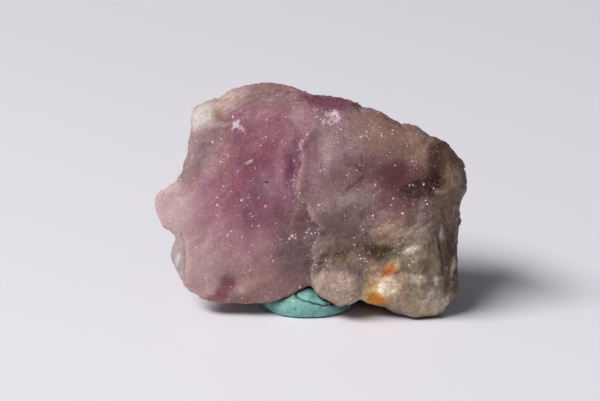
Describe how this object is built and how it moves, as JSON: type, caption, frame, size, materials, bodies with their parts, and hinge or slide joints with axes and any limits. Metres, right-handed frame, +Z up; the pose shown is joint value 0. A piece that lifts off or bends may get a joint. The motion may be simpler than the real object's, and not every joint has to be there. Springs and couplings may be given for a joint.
{
  "type": "raw hackmanite specimen",
  "caption": "Rough violet and brown mineral specimen leaning back on a pinched pad of green mounting putty.",
  "frame": {"origin": "on the table, under the middle of the specimen's box", "axes": "+X to the right along the specimen's length as seen from its violet face, -Y towards that viewer, +Z up"},
  "size_m": [0.0312, 0.0162, 0.0217],
  "materials": {
    "hackmanite": "satin",
    "putty": "matte"
  },
  "bodies": {
    "root": {"hackmanite": "hackmanite", "putty_pad": "putty"}
  },
  "joints": []
}
